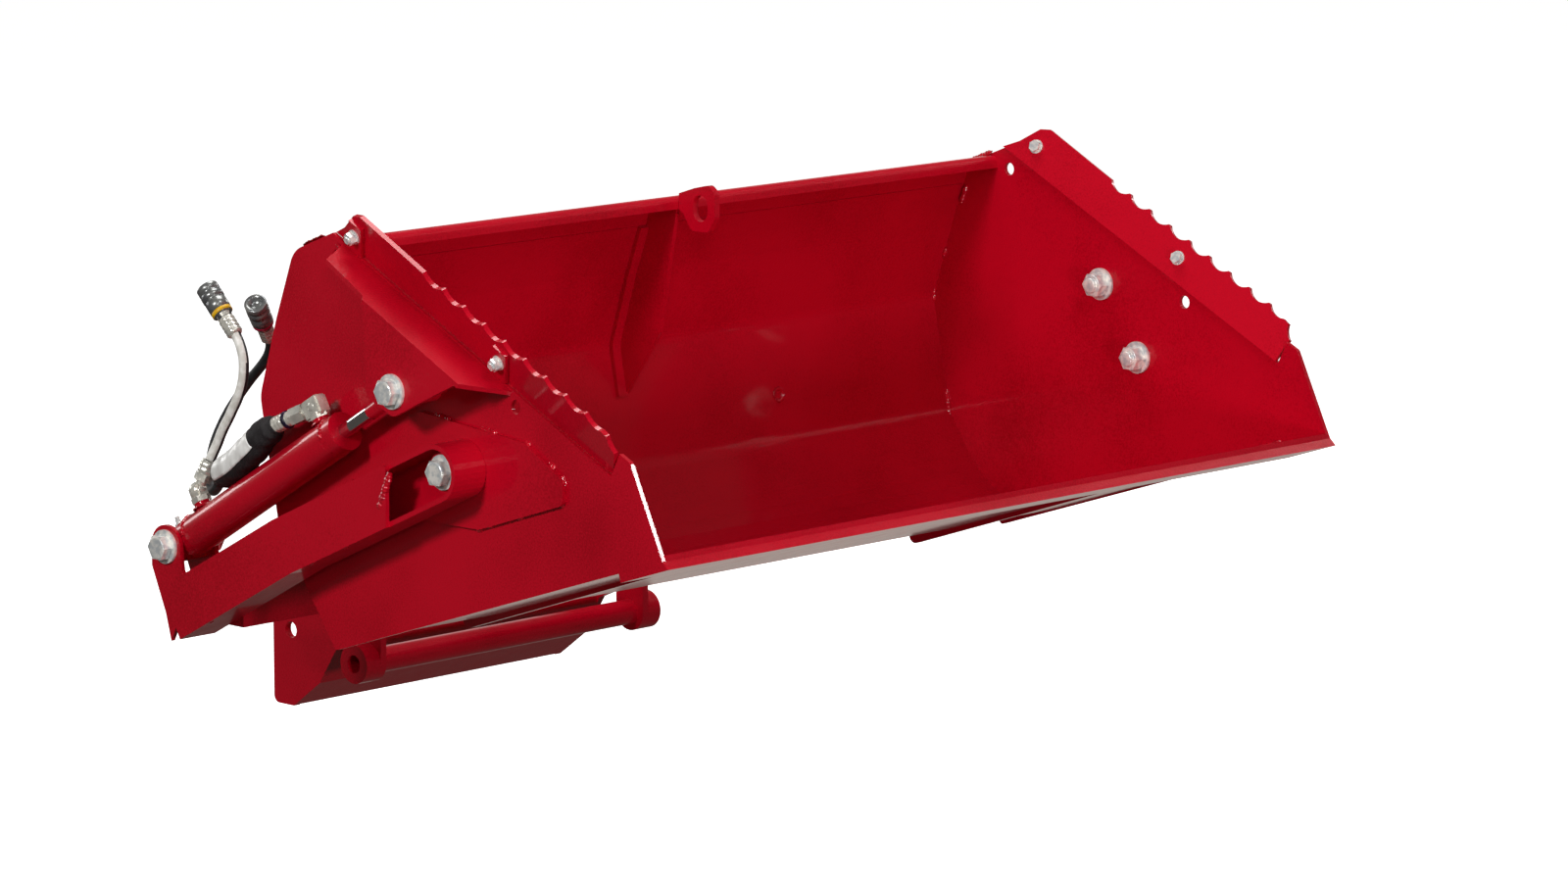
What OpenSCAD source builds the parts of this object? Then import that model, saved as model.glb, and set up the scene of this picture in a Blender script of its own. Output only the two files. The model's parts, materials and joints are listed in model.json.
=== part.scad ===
// Snow bucket with its tipping cylinders on a lift-arm frame.
// Millimetres, Z up. The mouth opens toward -Y and the operator's right hand is -X.
// The origin is the middle of the hitch pin's axis.
// Outlines are drawn in the side plane as [forward, up] from the bucket's pivot, and
// everything on the right-hand side is placed by its distance out from the inner face
// of the right side plate. The left-hand side is its mirror image.

/* [Bucket] */
// Width over the outer faces of the side plates
bucket_w = 1219; // [1000:1:1500]
// Depth of a side plate from its rear bend to the lip
bucket_d = 702; // [690:1:720]
// Height of a side plate from its lowest corner to the flat of its upper edge
bucket_h = 524; // [514:1:536]
// Thickness of the bent back and floor sheet
sheet_t = 5; // [4:0.5:8]
// Thickness of a side plate
side_t = 6; // [5:0.5:8]
// Radius of the big bend between back and floor
belly_r = 135; // [110:1:160]
// Length of the cutting edge bar from its bevel to its rear edge
cutter_l = 76; // [60:1:90]
// Thickness of the cutting edge bar
cutter_t = 11; // [8:0.5:14]
// Thickness of the centre gusset on the back
gusset_t = 6; // [5:0.5:8]
// Thickness of the tie-down eye
eye_t = 9; // [8:0.5:12]
// Thickness of a wear runner
runner_t = 10; // [8:0.5:14]

/* [Serrated edges] */
// Thickness of a serrated edge
edge_t = 6; // [4:0.5:8]
// Height of a serrated edge from the fold to its tips
edge_h = 56; // [50:1:60]
// Angle that the serrated edge leans outward
flare = 22; // [15:1:26]
// Number of scallops
tooth_count = 9; // [7:1:9]
// Radius of a scallop
scallop_r = 25; // [22:0.5:28]
// Depth of a scallop
scallop_deep = 7.8; // [6:0.1:9]
// Width of the bent tab behind each bolt
tab_w = 24; // [20:1:28]
// Thread size of the edge bolts
edge_bolt_d = 9.5; // [8:0.5:10]

/* [Pivots and cylinders] */
// Thread size of the large bolts
pin_d = 19; // [16:0.5:20]
// Rod pin, distance behind the bucket's pivot
rod_pin_back = 66; // [62:1:70]
// Rod pin, height over the bucket's pivot
rod_pin_up = 92; // [88:1:96]
// Base pin, distance behind the bucket's pivot
base_pin_back = 486; // [480:1:500]
// Base pin, drop below the bucket's pivot
base_pin_drop = 149; // [145:1:153]
// Outer diameter of the barrel
barrel_d = 50; // [46:0.5:50]
// Bore of the barrel
bore_d = 38; // [32:0.5:40]
// Diameter of the rod
rod_d = 19; // [16:0.5:22]
// Outer diameter of the rod eye
rod_eye_d = 48; // [46:0.5:50]

/* [Arms and hitch] */
// Height of an arm's channel
arm_h = 70; // [66:1:74]
// Depth of an arm's channel
arm_deep = 51; // [51:0.5:56]
// Wall of an arm and thickness of its cover
arm_wall = 6; // [5:0.5:7]
// Side of the square cross-member
cross_w = 75; // [70:1:80]
// Wall of the square cross-member
cross_wall = 5; // [4:0.5:6]
// Distance between the outer faces of the hitch plates
hitch_w = 490; // [420:1:560]
// Thickness of a hitch plate
hitch_t = 10; // [8:0.5:12]
// Bore of the hitch pin
hitch_bore = 22; // [18:0.5:25]
// Outer diameter of the hitch tube
tube_d = 34; // [30:0.5:38]
// Hitch pin, distance behind the bucket's pivot
pivot_f = 740; // [735:1:750]
// Hitch pin, drop below the bucket's pivot
pivot_u = 350; // [345:1:355]

/* [Hidden] */
$fn = 48;
// One overrun for every cut
over = 1;
// Clearance between neighbours, and of a running fit, on each side
fit = 0.3;
run_fit = 0.1;
// Steps in a rounded corner
steps = 8;
red = "#c4122a";
steel = "#b9bbbd";
black = "#151516";
zinc = "#d8d4c4";

// Faces counted outward from the inner face of the right side plate
doubler_t = 6;
run_gap = 0.5;
arm_z = side_t + doubler_t + run_gap;
cover_z = arm_z + arm_deep;
cover_out = cover_z + arm_wall;
cyl_z = arm_z + arm_deep / 2;
seat_x = bucket_w / 2 - side_t;

// Corners of the side plate as shares of its depth and height
bend_share = [-0.537, 0.086];
heel_share = [-0.4915, -0.2214];
keel_share = [-0.3462, -0.4885];
lip_share = [0.463, -0.1374];
nose_share = [0.3875, 0.0725];
notch_top_share = [0.3635, 0.0884];
notch_low_share = [0.3425, 0.0342];
crest_share = [-0.3419, 0.4966];
shoulder_share = [-0.4444, 0.4427];
spine_share = [-0.4915, 0.2767];
// Share of the shoulder's run at which the back sheet meets the top rail
rail_start_share = 0.72;
rail_shares = [[-0.4475, 0.442], [-0.3595, 0.4866], [-0.3575, 0.4427]];
side_hole_d = 17;
side_hole_shares = [[0.114, 0.1565], [-0.3305, 0.4427]];
// Distance that the side plates stand past the sheet
side_lap = 2;

function placed(share) = [share[0] * bucket_d, share[1] * bucket_h];
function all_placed(shares) = [for (s = shares) placed(s)];
function unit(v) = v / norm(v);
function turned(v, a) = [v[0] * cos(a) - v[1] * sin(a), v[0] * sin(a) + v[1] * cos(a)];
function side_of(a, b) = let(u = unit(b - a)) [-u[1], u[0]];
function reversed(list) = [for (i = [len(list) - 1:-1:0]) list[i]];

// The path moved sideways by d, with mitred corners
function shifted(path, d) = let(last = len(path) - 1) [
    for (i = [0:last])
        let(
            before = side_of(path[max(i - 1, 0)], path[max(i, 1)]),
            after = side_of(path[min(i, last - 1)], path[min(i + 1, last)])
        )
        path[i] + d * (before + after) / (1 + before * after)
];

// Arc of radius r in the corner a, b, c
function corner(a, b, c, r) =
    let(
        u = unit(a - b),
        v = unit(c - b),
        half = acos(u * v) / 2,
        run = r / tan(half),
        mid = b + unit(u + v) * r / sin(half),
        from = b + u * run - mid,
        to = b + v * run - mid,
        sweep = atan2(cross(from, to), from * to)
    )
    [for (k = [0:steps]) mid + turned(from, sweep * k / steps)];

// An open path with its inner corners rounded by the radii, one for each point
function softened(path, radii) = let(last = len(path) - 1) [
    for (i = [0:last])
        for (p = i > 0 && i < last && radii[i] > 0
            ? corner(path[i - 1], path[i], path[i + 1], radii[i])
            : [path[i]]) p
];

// A closed outline with rounded corners
function rounded(path, radii) = let(n = len(path)) [
    for (i = [0:n - 1])
        for (p = radii[i] > 0
            ? corner(path[(i + n - 1) % n], path[i], path[(i + 1) % n], radii[i])
            : [path[i]]) p
];

// A bent sheet of thickness t whose outside lies d to the right of the path; its inside
// corners have the radii
function sheet(path, radii, d, t) = concat(
    softened(shifted(path, -d), [for (r = radii) r > 0 ? r + t : 0]),
    reversed(softened(shifted(path, -d - t), radii))
);

bend = placed(bend_share);
heel = placed(heel_share);
keel = placed(keel_share);
lip = placed(lip_share);
crest = placed(crest_share);
shoulder = placed(shoulder_share);
spine = placed(spine_share);
notch_low = placed(notch_low_share);
rail_start = spine + (shoulder - spine) * rail_start_share;
rail_path = concat([rail_start], all_placed(rail_shares));
rail_radii = [0, sheet_t, sheet_t, 0];
bend_r = 40;
heel_r = 60;
shell_path = [lip, keel, heel, bend, spine, rail_start];
shell_radii = [0, belly_r, heel_r, bend_r, 0, 0];
floor_angle = atan2(lip[1] - keel[1], lip[0] - keel[0]);

// Frame of the fold under the serrated edge: its rear end, length and fall
fold_l = norm(notch_low - crest);
fold_angle = atan2(notch_low[1] - crest[1], notch_low[0] - crest[0]);
// Positions along the fold, from its rear end
edge_bolt_shares = [0.0835, 0.6062];
edge_bolt_at = fold_l * edge_bolt_shares;
first_tip_share = 0.316;
first_tip = fold_l * first_tip_share;
edge_bolt_up = 28;
tab_h = 46;
edge_front_cut = 20;
// How far the last tip lies below the others, and the middle of the scallop in front of it
tip_drop = 6;
end_scallop = [fold_l + 0.25 * scallop_r, edge_h + tip_drop / 4];
tooth_pitch = (fold_l - first_tip - edge_front_cut) / tooth_count;
edge_rear = [[0, run_gap], [17, 20], [34, 50], [48, 58]];

rod_pin = [-rod_pin_back, rod_pin_up];
base_pin = [-base_pin_back, -base_pin_drop];

// The cylinder at rest. The rod eye leads its pin a little, because the swing and the
// stroke follow the tipping angle in fixed proportion.
eye_lead = 0.565;
eye_short = 0.33;
cyl_angle = atan2(rod_pin[1] - base_pin[1], rod_pin[0] - base_pin[0]) + eye_lead;
eye_at = norm(rod_pin - base_pin) - eye_short;
eye_play = 5;
rod_eye_w = 25;
rod_eye_bore = pin_d + 2 * eye_play + fit;
base_eye_d = 44;
cap_at = 17;
barrel_at = 30;
gland_at = 330;
gland_l = 18;
gland_nose = 16;
piston_at = 33;
piston_l = 20;
neck_at = 403;
neck_d = 24;
port_at = [58, 316];
port_d = 22;
port_top = 31;
port_bore = 10;

hex_t = 12;
nut_t = 16;
hex_af = 1.5 * pin_d;
washer_d = 2.25 * pin_d;
washer_t = 3.5;
thread_spare = 4;

module side_plane(z = 0)
    translate([-seat_x - z, -pivot_f, pivot_u])
        rotate([90, 0, -90])
            children();

module slab(z, t)
    side_plane(z)
        linear_extrude(t)
            children();

module other_side()
    mirror([1, 0, 0])
        children();

module both_sides() {
    children();
    other_side()
        children();
}

// A round bar across the side plane, from z0 to z1
module bar(at, z0, z1, d)
    side_plane(z0)
        translate(at)
            cylinder(d = d, h = z1 - z0);

module ring(at, z0, z1, d, bore)
    side_plane(z0)
        translate(at)
            linear_extrude(z1 - z0)
                difference() {
                    circle(d = d);
                    circle(d = bore);
                }

module hexagon(at, z0, z1, af)
    side_plane(z0)
        translate(at)
            cylinder(d = af / cos(30), h = z1 - z0, $fn = 6);

// The frame of the serrated edge: along the fold, up the edge, out of the bucket
module on_edge(z = 0)
    side_plane()
        translate(crest)
            rotate([0, 0, fold_angle])
                rotate([flare, 0, 0])
                    translate([0, 0, z])
                        children();

// The frame of the cylinder: along its axis from the base pin, up from it, outward
module on_cylinder()
    side_plane(cyl_z)
        translate(base_pin)
            rotate([0, 0, cyl_angle])
                children();

module along(from, l, d1, d2 = 0)
    translate([from, 0, 0])
        rotate([0, 90, 0])
            cylinder(d1 = d1, d2 = d2 > 0 ? d2 : d1, h = l);

// Bucket

module bucket_shell()
    color(red)
        translate([2 * seat_x, 0, 0])
            slab(0, 2 * seat_x)
                polygon(sheet(shell_path, shell_radii, side_lap, sheet_t));

module side_outline()
    polygon(rounded(
        [lip, placed(nose_share), placed(notch_top_share), notch_low, crest, shoulder, spine, bend, heel, keel],
        [0, side_t, 0, 0, 0, 2 * sheet_t + tab_w, 0, bend_r, heel_r, side_t]
    ));

module side_plate_right()
    color(red)
        union() {
            slab(0, side_t)
                difference() {
                    side_outline();
                    for (at = all_placed(side_hole_shares))
                        translate(at)
                            circle(d = side_hole_d);
                    circle(d = pin_d + 2 * run_fit);
                    translate(rod_pin)
                        circle(d = pin_d);
                }
            for (at = edge_bolt_at)
                on_edge()
                    edge_tab(at);
        }

module edge_tab(at)
    linear_extrude(side_t)
        difference() {
            translate([at - tab_w / 2, -side_t * tan(flare)])
                square([tab_w, tab_h + side_t * tan(flare)]);
            translate([at, edge_bolt_up])
                circle(d = edge_bolt_d);
        }

module side_plate_left()
    other_side()
        side_plate_right();

module top_rail()
    color(red)
        translate([2 * seat_x, 0, 0])
            slab(0, 2 * seat_x)
                polygon(sheet(rail_path, rail_radii, side_lap, sheet_t));

// Outline of the tie-down eye and the hole in it, as shares of the side plate's size
eye_shares = [
    [-0.362, 0.445], [-0.362, 0.481], [-0.32, 0.499], [-0.285, 0.5095], [-0.268, 0.492],
    [-0.268, 0.43], [-0.285, 0.393], [-0.328, 0.393], [-0.348, 0.432]
];
eye_hole_share = [-0.305, 0.4505];
eye_hole_w = 26;
eye_hole_h = 34;

module tie_down_eye()
    color(red)
        translate([seat_x + eye_t / 2, 0, 0])
            slab(0, eye_t)
                difference() {
                    polygon(rounded(all_placed(eye_shares), [for (i = [0:8]) i < 2 ? 0 : eye_t]));
                    translate(placed(eye_hole_share) - [0, (eye_hole_h - eye_hole_w) / 2])
                        slot(eye_hole_w, eye_hole_h);
                    rail_front();
                }

// A slot that stands on the centre of its lower end
module slot(w, h) {
    circle(d = w);
    translate([0, h - w])
        circle(d = w);
    translate([-w / 2, 0])
        square([w, h - w]);
}

// The space behind the front face of the top rail
module rail_front() {
    face = shifted(rail_path, -side_lap);
    translate([face[3][0] - bucket_d + fit, face[3][1] - bucket_h])
        square([bucket_d, 2 * bucket_h]);
}

// Corners of the gusset in front of the back sheet
gusset_low_share = [-0.413, 0.13];
gusset_foot_share = [-0.504, -0.0395];
foot_w = 14;

module centre_gusset() {
    under_rail = softened(shifted(rail_path, -side_lap - sheet_t - fit), rail_radii);
    foot = placed(gusset_foot_share);
    color(red) {
        translate([seat_x + gusset_t / 2, 0, 0])
            slab(0, gusset_t)
                difference() {
                    polygon(concat(under_rail, [placed(gusset_low_share), foot, [-bucket_d, foot[1]]]));
                    behind_back();
                }
        translate([seat_x, 0, 0])
            slab(0, foot_w + gusset_t / 2)
                gusset_foot(foot[1], shoulder[1] - sheet_t);
    }
}

// The gusset's bent foot, a strip on the back sheet from one height to another
module gusset_foot(from, to)
    intersection() {
        polygon(sheet(shell_path, shell_radii, side_lap + sheet_t + fit, gusset_t));
        translate([-bucket_d, from])
            square([bucket_d, to - from]);
    }

// All that lies behind the inside of the back sheet
module behind_back() {
    inner = shifted(shell_path, -side_lap - sheet_t - fit);
    polygon(concat(softened(inner, shell_radii), [
        rail_start - [2 * bucket_d, 0], heel - [2 * bucket_d, bucket_h], lip - [0, bucket_h]
    ]));
}

// All that lies inside the outside of the back and floor sheet
module before_back() {
    outer = shifted(shell_path, -side_lap);
    polygon(concat(softened(outer, [for (r = shell_radii) r > 0 ? r + sheet_t : 0]), [
        rail_start + [2 * bucket_d, bucket_h], lip + [bucket_d, bucket_h]
    ]));
}

bevel = 30;

module cutting_edge()
    color(red) {
        translate([2 * seat_x + side_t, 0, 0])
            slab(0, 2 * seat_x + 2 * side_t)
                translate(lip)
                    rotate([0, 0, floor_angle])
                        polygon([[-cutter_l, 0], [-cutter_l, -cutter_t], [cutter_t * tan(bevel), -cutter_t], [0, 0]]);
        translate([2 * seat_x, 0, 0])
            slab(0, 2 * seat_x)
                translate(lip)
                    rotate([0, 0, floor_angle])
                        translate([-cutter_l, 0])
                            square([cutter_l, side_lap]);
    }

runner_x = 407;
runner_deep = 5;
runner_front = 2;
runner_rear = 20;

module wear_runners()
    color(red)
        for (side = [-1, 1])
            translate([side * runner_x + seat_x + runner_t / 2, 0, 0])
                slab(0, runner_t)
                    difference() {
                        translate(keel)
                            rotate([0, 0, floor_angle])
                                polygon(rounded(
                                    [
                                        [runner_rear, belly_r / 3], [runner_rear, -runner_deep],
                                        [norm(lip - keel) - cutter_l, -runner_front],
                                        [norm(lip - keel) - cutter_l, belly_r / 3]
                                    ],
                                    [0, runner_t, 0, 0]
                                ));
                        before_back();
                    }

module serrated_edge_right()
    color(red)
        on_edge(-edge_t)
            linear_extrude(edge_t)
                difference() {
                    polygon(concat(edge_rear, [
                        [first_tip, edge_h],
                        [fold_l - edge_front_cut - tooth_pitch, edge_h],
                        [fold_l - edge_front_cut, edge_h - tip_drop],
                        [fold_l - side_lap, edge_h - tip_drop],
                        [fold_l - side_lap, run_gap]
                    ]));
                    translate(end_scallop)
                        circle(r = scallop_r);
                    for (k = [0:tooth_count - 1])
                        translate([first_tip + (k + 0.5) * tooth_pitch, edge_h + scallop_r - scallop_deep])
                            circle(r = scallop_r);
                    for (at = edge_bolt_at)
                        translate([at, edge_bolt_up])
                            circle(d = edge_bolt_d);
                }

module serrated_edge_left()
    other_side()
        serrated_edge_right();

edge_flange_t = 1.6;
edge_head_t = 6;
edge_nut_t = 8;
edge_washer_t = 2;
edge_af = 1.5 * edge_bolt_d;
edge_flange_d = 2 * edge_bolt_d;

module edge_bolts()
    color(steel)
        both_sides()
            for (at = edge_bolt_at)
                on_edge(-edge_t - edge_flange_t - edge_head_t)
                    translate([at, edge_bolt_up, 0]) {
                        cylinder(d = edge_af / cos(30), h = edge_head_t, $fn = 6);
                        translate([0, 0, edge_head_t])
                            cylinder(d = edge_flange_d, h = edge_flange_t);
                        translate([0, 0, edge_head_t + edge_flange_t])
                            cylinder(d = edge_bolt_d, h = edge_t + side_t + edge_washer_t + edge_nut_t + edge_head_t / 2);
                    }

module edge_nuts()
    color(steel)
        both_sides()
            for (at = edge_bolt_at)
                on_edge(side_t)
                    translate([at, edge_bolt_up, 0])
                        difference() {
                            union() {
                                cylinder(d = edge_flange_d, h = edge_washer_t);
                                cylinder(d = edge_af / cos(30), h = edge_washer_t + edge_nut_t, $fn = 6);
                            }
                            translate([0, 0, -over])
                                cylinder(d = edge_bolt_d, h = edge_washer_t + edge_nut_t + 2 * over);
                        }

doubler_shares = [[-0.128, 0.1145], [0.1425, 0.08], [0.235, 0.0095], [0.235, -0.0477], [0.0285, -0.1374], [-0.128, -0.1374]];

module doubler_right()
    color(red)
        slab(side_t, doubler_t)
            difference() {
                polygon(rounded(all_placed(doubler_shares), [for (s = doubler_shares) pin_d / 2]));
                circle(d = pin_d + 2 * run_fit);
            }

module doubler_left()
    other_side()
        doubler_right();

// Cylinder bracket: a flange under the fold and a web outside the rod eye
flange_l = 330;
flange_at = 23;
flange_rear_share = 0.08;
flange_step_share = 0.325;
flange_front_share = 0.91;
step_in = 7;
web_foot = 23;

module cylinder_bracket_right()
    color(red) {
        reach = cover_out - side_t;
        side_plane()
            translate(crest)
                rotate([0, 0, fold_angle])
                    translate([0, -2 * run_gap, side_t])
                        rotate([90, 0, 0])
                            linear_extrude(arm_wall)
                                polygon([
                                    [flange_at, 0],
                                    [flange_at + flange_l * flange_rear_share, reach - 2 * step_in],
                                    [flange_at + flange_l * flange_step_share, reach - step_in],
                                    [flange_at + flange_l * flange_step_share + step_in, reach],
                                    [flange_at + flange_l * flange_front_share, reach],
                                    [flange_at + flange_l, 0]
                                ]);
        slab(cover_z, arm_wall)
            difference() {
                intersection() {
                    bracket_web();
                    translate(crest)
                        rotate([0, 0, fold_angle])
                            translate([0, -bucket_h])
                                square([bucket_d, bucket_h - 2 * run_gap]);
                }
                translate(rod_pin)
                    circle(d = pin_d);
            }
    }

module bracket_web() {
    along_fold = [cos(fold_angle), sin(fold_angle)];
    top_rear = crest + along_fold * (flange_at + flange_l * flange_step_share + step_in);
    top_front = crest + along_fold * (flange_at + flange_l * flange_front_share);
    low = [rod_pin[0] - 2 * web_foot, rod_pin[1] - web_foot / 2];
    foot = [rod_pin[0], rod_pin[1] - 1.35 * web_foot];
    polygon(rounded([top_rear, low, foot, top_front], [0, web_foot, web_foot / 2, 0]));
}

module cylinder_bracket_left()
    other_side()
        cylinder_bracket_right();

spacer_d = 38;

module rod_pin_spacers()
    color(red)
        both_sides() {
            ring(rod_pin, side_t, cyl_z - rod_eye_w / 2 - fit, spacer_d, pin_d);
            ring(rod_pin, cyl_z + rod_eye_w / 2 + fit, cover_z, spacer_d, pin_d);
        }

// A large bolt from its head to its thread's end
module large_bolt(at, head_z, end_z) {
    bar(at, end_z, head_z, pin_d);
    hexagon(at, head_z, head_z + hex_t, hex_af);
}

// Washer and nut under a face, looking outward
module large_nut(at, face_z)
    side_plane(face_z - washer_t - nut_t)
        translate(at)
            difference() {
                union() {
                    cylinder(d = hex_af / cos(30), h = nut_t, $fn = 6);
                    translate([0, 0, nut_t])
                        cylinder(d = washer_d, h = washer_t);
                }
                translate([0, 0, -over])
                    cylinder(d = pin_d, h = nut_t + washer_t + 2 * over);
            }

module large_washer(at, face_z)
    ring(at, face_z, face_z + washer_t, washer_d, pin_d);

function thread_end(face_z) = face_z - washer_t - nut_t - thread_spare;

module rod_pin_bolts()
    color(steel)
        both_sides()
            large_bolt(rod_pin, cover_out + washer_t, thread_end(0));

module rod_pin_nuts()
    color(steel)
        both_sides() {
            large_nut(rod_pin, 0);
            large_washer(rod_pin, cover_out);
        }

// Arm frame

arm_knee = [-271, -122.4];
arm_tail = [-478, -232.5];
cover_front = 80;
boss_d = 50;
boss_l = 30;
ear_r = 27;

// An arm's side view with a round nose, half as high as 2 * half, drawn out by tail
module arm_bar(half, tail = 0) {
    path = [-unit(arm_knee) * half, arm_knee, arm_tail + unit(arm_tail - arm_knee) * tail];
    polygon(rounded(
        concat(shifted(path, half), reversed(shifted(path, -half))),
        [half - run_fit, 0, 0, 0, 0, half - run_fit]
    ));
}

module arm_right()
    color(red)
        side_plane(arm_z)
            difference() {
                linear_extrude(arm_deep)
                    arm_bar(arm_h / 2);
                translate([0, 0, arm_wall])
                    linear_extrude(arm_deep)
                        arm_bar(arm_h / 2 - arm_wall, over);
                translate([0, 0, -over])
                    cylinder(d = pin_d, h = arm_deep + 2 * over);
            }

module arm_left()
    other_side()
        arm_right();

// The rear ear, round the base pin
module ear()
    polygon(rounded(
        [
            base_pin + [-ear_r, ear_r],
            base_pin + [ear_r, ear_r],
            base_pin + [ear_r, -ear_r / 4],
            base_pin + [1.1 * ear_r, -ear_r],
            arm_tail + [arm_h / 2, arm_h / 2],
            arm_tail + [0, -arm_h / 2],
            arm_tail + [-arm_h / 7, 0],
            base_pin + [-ear_r, -ear_r]
        ],
        [ear_r - run_fit, ear_r - run_fit, 0, 0, 0, 0, 0, 0]
    ));

module arm_cover_right()
    color(red)
        slab(cover_z, arm_wall)
            difference() {
                union() {
                    intersection() {
                        arm_bar(arm_h / 2);
                        translate([-base_pin_back - arm_h, -base_pin_back])
                            square([base_pin_back + arm_h - cover_front, base_pin_back]);
                    }
                    ear();
                }
                translate(base_pin)
                    circle(d = pin_d);
            }

module arm_cover_left()
    other_side()
        arm_cover_right();

cross_front = 407;
cross_low = 249;
ear_plate_t = 6;

module ear_plates()
    color(red)
        both_sides()
            slab(arm_z - ear_plate_t, ear_plate_t)
                difference() {
                    union() {
                        ear();
                        translate([-cross_front - cross_w, -cross_low])
                            square([cross_w, cross_w]);
                    }
                    translate(base_pin)
                        circle(d = pin_d);
                }

module cross_member()
    color(red)
        translate([2 * (seat_x + arm_z - ear_plate_t), 0, 0])
            translate([ear_plate_t - arm_z, 0, 0])
                slab(0, 2 * (seat_x + arm_z - ear_plate_t))
                    translate([-cross_front - cross_w, -cross_low])
                        difference() {
                            square([cross_w, cross_w]);
                            translate([cross_wall, cross_wall])
                                square([cross_w - 2 * cross_wall, cross_w - 2 * cross_wall]);
                        }

module pivot_bosses()
    color(red)
        both_sides()
            ring([0, 0], arm_z + arm_wall, arm_z + arm_wall + boss_l, boss_d, pin_d);

module pivot_bolts()
    color(steel)
        both_sides()
            large_bolt([0, 0], arm_z + arm_wall + boss_l + washer_t, thread_end(-fit));

module pivot_nuts()
    color(steel)
        both_sides() {
            large_nut([0, 0], -fit);
            large_washer([0, 0], arm_z + arm_wall + boss_l);
        }

module base_pin_bolts()
    color(steel)
        both_sides()
            large_bolt(base_pin, cover_out + washer_t, thread_end(arm_z - ear_plate_t));

module base_pin_nuts()
    color(steel)
        both_sides() {
            large_nut(base_pin, arm_z - ear_plate_t);
            large_washer(base_pin, cover_out);
        }

// Hitch

hitch_pin = [-pivot_f, -pivot_u];
hitch_nose = [-648, -360];
hitch_step = [-684, -414];
hitch_toe = [-736, -452];
hitch_heel = [-775, -452];
tube_at = [-590, -372];
collar_d = 52;
collar_l = 24;
face_t = 6;
face_lip = 30;

module hitch_plate(sign) {
    cross_corner = [-cross_front - cross_w, -cross_low];
    color(red)
        translate([seat_x + sign * hitch_w / 2 + (sign > 0 ? 0 : hitch_t), 0, 0])
            slab(0, hitch_t)
                difference() {
                    polygon(rounded(
                        [
                            cross_corner + [0, cross_w], cross_corner, cross_corner + [cross_w, 0],
                            cross_corner + [cross_w, -hitch_t], tube_at + [collar_d / 2, collar_d * 0.85],
                            tube_at + [collar_d / 2, -collar_d / 2], tube_at + [-collar_d / 2, -collar_d / 2],
                            tube_at + [-collar_d / 2, collar_d / 2], hitch_nose, hitch_step, hitch_toe, hitch_heel,
                            hitch_heel + [0, 2 * cross_w], cross_corner + [-cross_w, cross_w / 2]
                        ],
                        [0, 0, 0, 0, 0, collar_d / 2 - fit, collar_d / 2 - fit, 0, 0, 0, 0, hitch_t, 2 * hitch_t, 0]
                    ));
                    translate(hitch_pin)
                        circle(d = hitch_bore);
                    translate(tube_at)
                        circle(d = tube_d);
                }
}

module hitch_plate_right()
    hitch_plate(-1);

module hitch_plate_left()
    hitch_plate(1);

module hitch_face()
    color(red)
        translate([seat_x + hitch_w / 2 - hitch_t, 0, 0])
            slab(0, hitch_w - 2 * hitch_t)
                polygon(sheet([hitch_nose + [-face_lip, face_lip / 2], hitch_nose, hitch_step, hitch_toe, hitch_toe + [-face_lip, 0]],
                    [0, face_t, 0, face_t, 0], 0, face_t));

module hitch_tube()
    color(red)
        translate([seat_x + hitch_w / 2 + collar_l, 0, 0])
            ring(tube_at, 0, hitch_w + 2 * collar_l, tube_d, tube_d - 2 * cross_wall);

module tube_collars()
    color(red)
        for (sign = [-1, 1])
            translate([seat_x + sign * (hitch_w / 2 + collar_l / 2) + collar_l / 2, 0, 0])
                ring(tube_at, 0, collar_l, collar_d, tube_d);

// Cylinders

module barrel_right()
    color(red)
        on_cylinder()
            difference() {
                union() {
                    along(barrel_at, gland_at - barrel_at, barrel_d);
                    for (at = port_at)
                        translate([at, 0, 0])
                            rotate([-90, 0, 0])
                                cylinder(d = port_d, h = port_top);
                }
                along(barrel_at - over, gland_at - barrel_at + 2 * over, bore_d);
                for (at = port_at)
                    translate([at, 0, 0])
                        rotate([-90, 0, 0])
                            cylinder(d = port_bore, h = port_top + over);
            }

module barrel_left()
    other_side()
        barrel_right();

module base_eye_right()
    color(red)
        on_cylinder()
            difference() {
                union() {
                    along(cap_at, barrel_at - cap_at, barrel_d);
                    translate([0, 0, fit - arm_deep / 2])
                        cylinder(d = base_eye_d, h = arm_deep - 2 * fit);
                }
                translate([0, 0, -arm_deep])
                    cylinder(d = pin_d + 2 * run_fit, h = 2 * arm_deep);
            }

module base_eye_left()
    other_side()
        base_eye_right();

module gland_right()
    color(red)
        on_cylinder()
            difference() {
                union() {
                    along(gland_at, gland_l, barrel_d);
                    along(gland_at - gland_nose, gland_nose, bore_d - fit);
                }
                along(gland_at - gland_nose - over, gland_l + gland_nose + 2 * over, rod_d + 2 * run_fit);
            }

module gland_left()
    other_side()
        gland_right();

module piston_right()
    color(steel)
        on_cylinder()
            difference() {
                along(piston_at, piston_l, bore_d - 2 * fit);
                translate([piston_at + piston_l / 2, 0, 0])
                    rotate([0, 90, 0])
                        linear_extrude(piston_l / 5)
                            difference() {
                                circle(d = bore_d + over);
                                circle(d = bore_d - piston_l / 5);
                            }
            }

module piston_left()
    other_side()
        piston_right();

module rod_right()
    color(steel)
        on_cylinder()
            along(piston_at + piston_l, neck_at - piston_at - piston_l, rod_d);

module rod_left()
    other_side()
        rod_right();

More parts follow.
